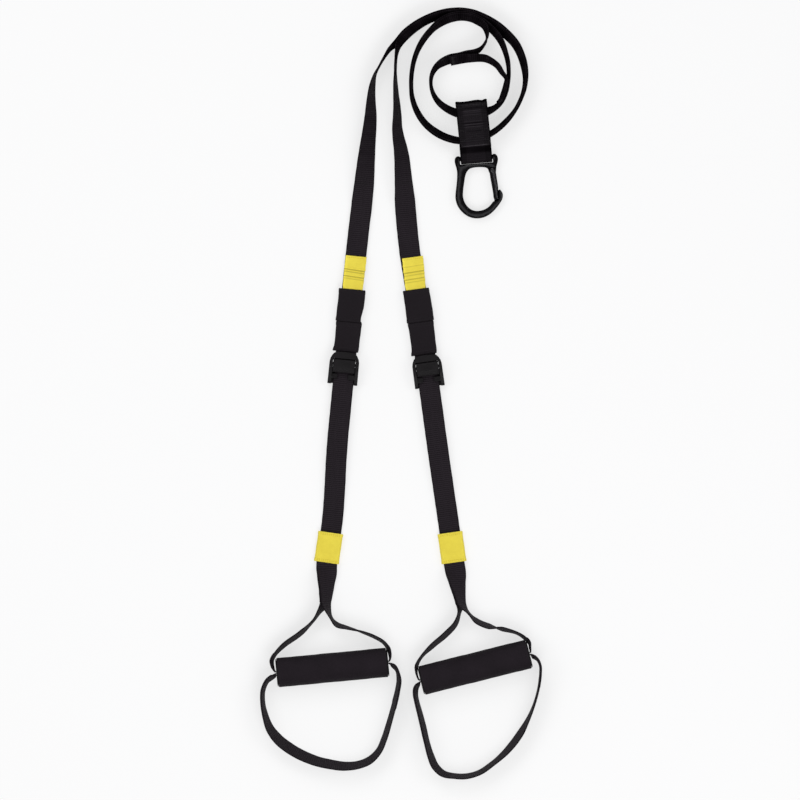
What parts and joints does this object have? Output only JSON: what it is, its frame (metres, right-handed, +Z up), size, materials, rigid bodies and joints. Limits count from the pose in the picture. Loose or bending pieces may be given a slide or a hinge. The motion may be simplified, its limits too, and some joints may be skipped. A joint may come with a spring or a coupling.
{
  "type": "suspension trainer",
  "caption": "Body-weight suspension trainer: a doubled webbing strap with an anchor loop and carabiner, and adjustable legs that end in foam grips with foot cradles, lying loosely coiled.",
  "frame": {"origin": "middle of the coiled trainer's footprint on the table, at table height", "axes": "+Y from the handles towards the coiled anchor end, +Z up from the table, +X to the right of the strap's own right leg"},
  "size_m": [0.3377, 0.9272, 0.0354],
  "materials": {
    "black_webbing": "matt woven polyester webbing",
    "black_sleeve": "matt close-woven fabric",
    "yellow_fabric": "matt woven fabric",
    "black_foam": "matt fine-celled foam",
    "black_plastic": "fine-grained moulded plastic",
    "steel": "plain drawn steel",
    "coated_metal": "satin black coating"
  },
  "bodies": {
    "root": {"main_strap": "black_webbing", "ring_lock_strap": "black_webbing", "anchor_strap": "black_webbing", "left_buckle_frame": "black_plastic", "left_buckle_bar": "steel", "left_cam_pin": "steel", "left_cam_spring": "steel", "left_lower_sleeve": "black_sleeve", "right_buckle_frame": "black_plastic", "right_buckle_bar": "steel", "right_cam_pin": "steel", "right_cam_spring": "steel", "right_lower_sleeve": "black_sleeve"},
    "carabiner": {"carabiner_body": "coated_metal", "gate_pin": "steel", "gate_spring": "steel"},
    "gate": {"carabiner_gate": "coated_metal"},
    "left_cam": {"left_cam_lever": "black_plastic"},
    "left_handle": {"left_slider_sleeve": "black_sleeve", "left_pull_tab": "yellow_fabric", "left_adjust_strap": "black_webbing", "left_label_sleeve": "yellow_fabric", "left_yoke_strap": "black_webbing", "left_foot_cradle": "black_webbing"},
    "left_grip": {"left_grip_foam": "black_foam", "left_grip_core": "black_plastic", "left_grip_ring_a": "black_plastic", "left_grip_ring_b": "black_plastic"},
    "right_cam": {"right_cam_lever": "black_plastic"},
    "right_handle": {"right_slider_sleeve": "black_sleeve", "right_pull_tab": "yellow_fabric", "right_adjust_strap": "black_webbing", "right_label_sleeve": "yellow_fabric", "right_yoke_strap": "black_webbing", "right_foot_cradle": "black_webbing"},
    "right_grip": {"right_grip_foam": "black_foam", "right_grip_core": "black_plastic", "right_grip_ring_a": "black_plastic", "right_grip_ring_b": "black_plastic"}
  },
  "joints": [
    {"name": "carabiner_swing", "type": "hinge", "parent": "root", "child": "carabiner", "pos_m": [0.09042, 0.28261, 0.005], "axis": [-0.9973, -0.0732, 0], "range_deg": [0, 60]},
    {"name": "gate_swing", "type": "hinge", "parent": "carabiner", "child": "gate", "pos_m": [0.11002, 0.26701, 0.005], "axis": [0, 0, -1], "range_deg": [0, 26], "stiffness_Nm_per_rad": 0.03, "springref_deg": -17.19},
    {"name": "left_cam_turn", "type": "hinge", "parent": "root", "child": "left_cam", "pos_m": [-0.06836, 0.03272, 0.0126], "axis": [0.9954, -0.0963, 0], "range_deg": [0, 20], "stiffness_Nm_per_rad": 0.02, "springref_deg": -17.19},
    {"name": "right_cam_turn", "type": "hinge", "parent": "root", "child": "right_cam", "pos_m": [0.03193, 0.02937, 0.0126], "axis": [0.9909, 0.1349, 0], "range_deg": [0, 20], "stiffness_Nm_per_rad": 0.02, "springref_deg": -17.19},
    {"name": "left_length", "type": "slide", "parent": "root", "child": "left_handle", "axis": [0.0963, 0.9954, 0], "range_m": [0, 0.055]},
    {"name": "right_length", "type": "slide", "parent": "root", "child": "right_handle", "axis": [-0.1349, 0.9909, 0], "range_m": [0, 0.055]},
    {"name": "left_grip_spin", "type": "hinge", "parent": "left_handle", "child": "left_grip", "pos_m": [-0.08238, -0.32879, 0.01775], "axis": [0.9956, 0.0941, 0], "continuous": true},
    {"name": "right_grip_spin", "type": "hinge", "parent": "right_handle", "child": "right_grip", "pos_m": [0.08898, -0.32843, 0.01775], "axis": [0.9703, 0.2419, 0], "continuous": true}
  ]
}
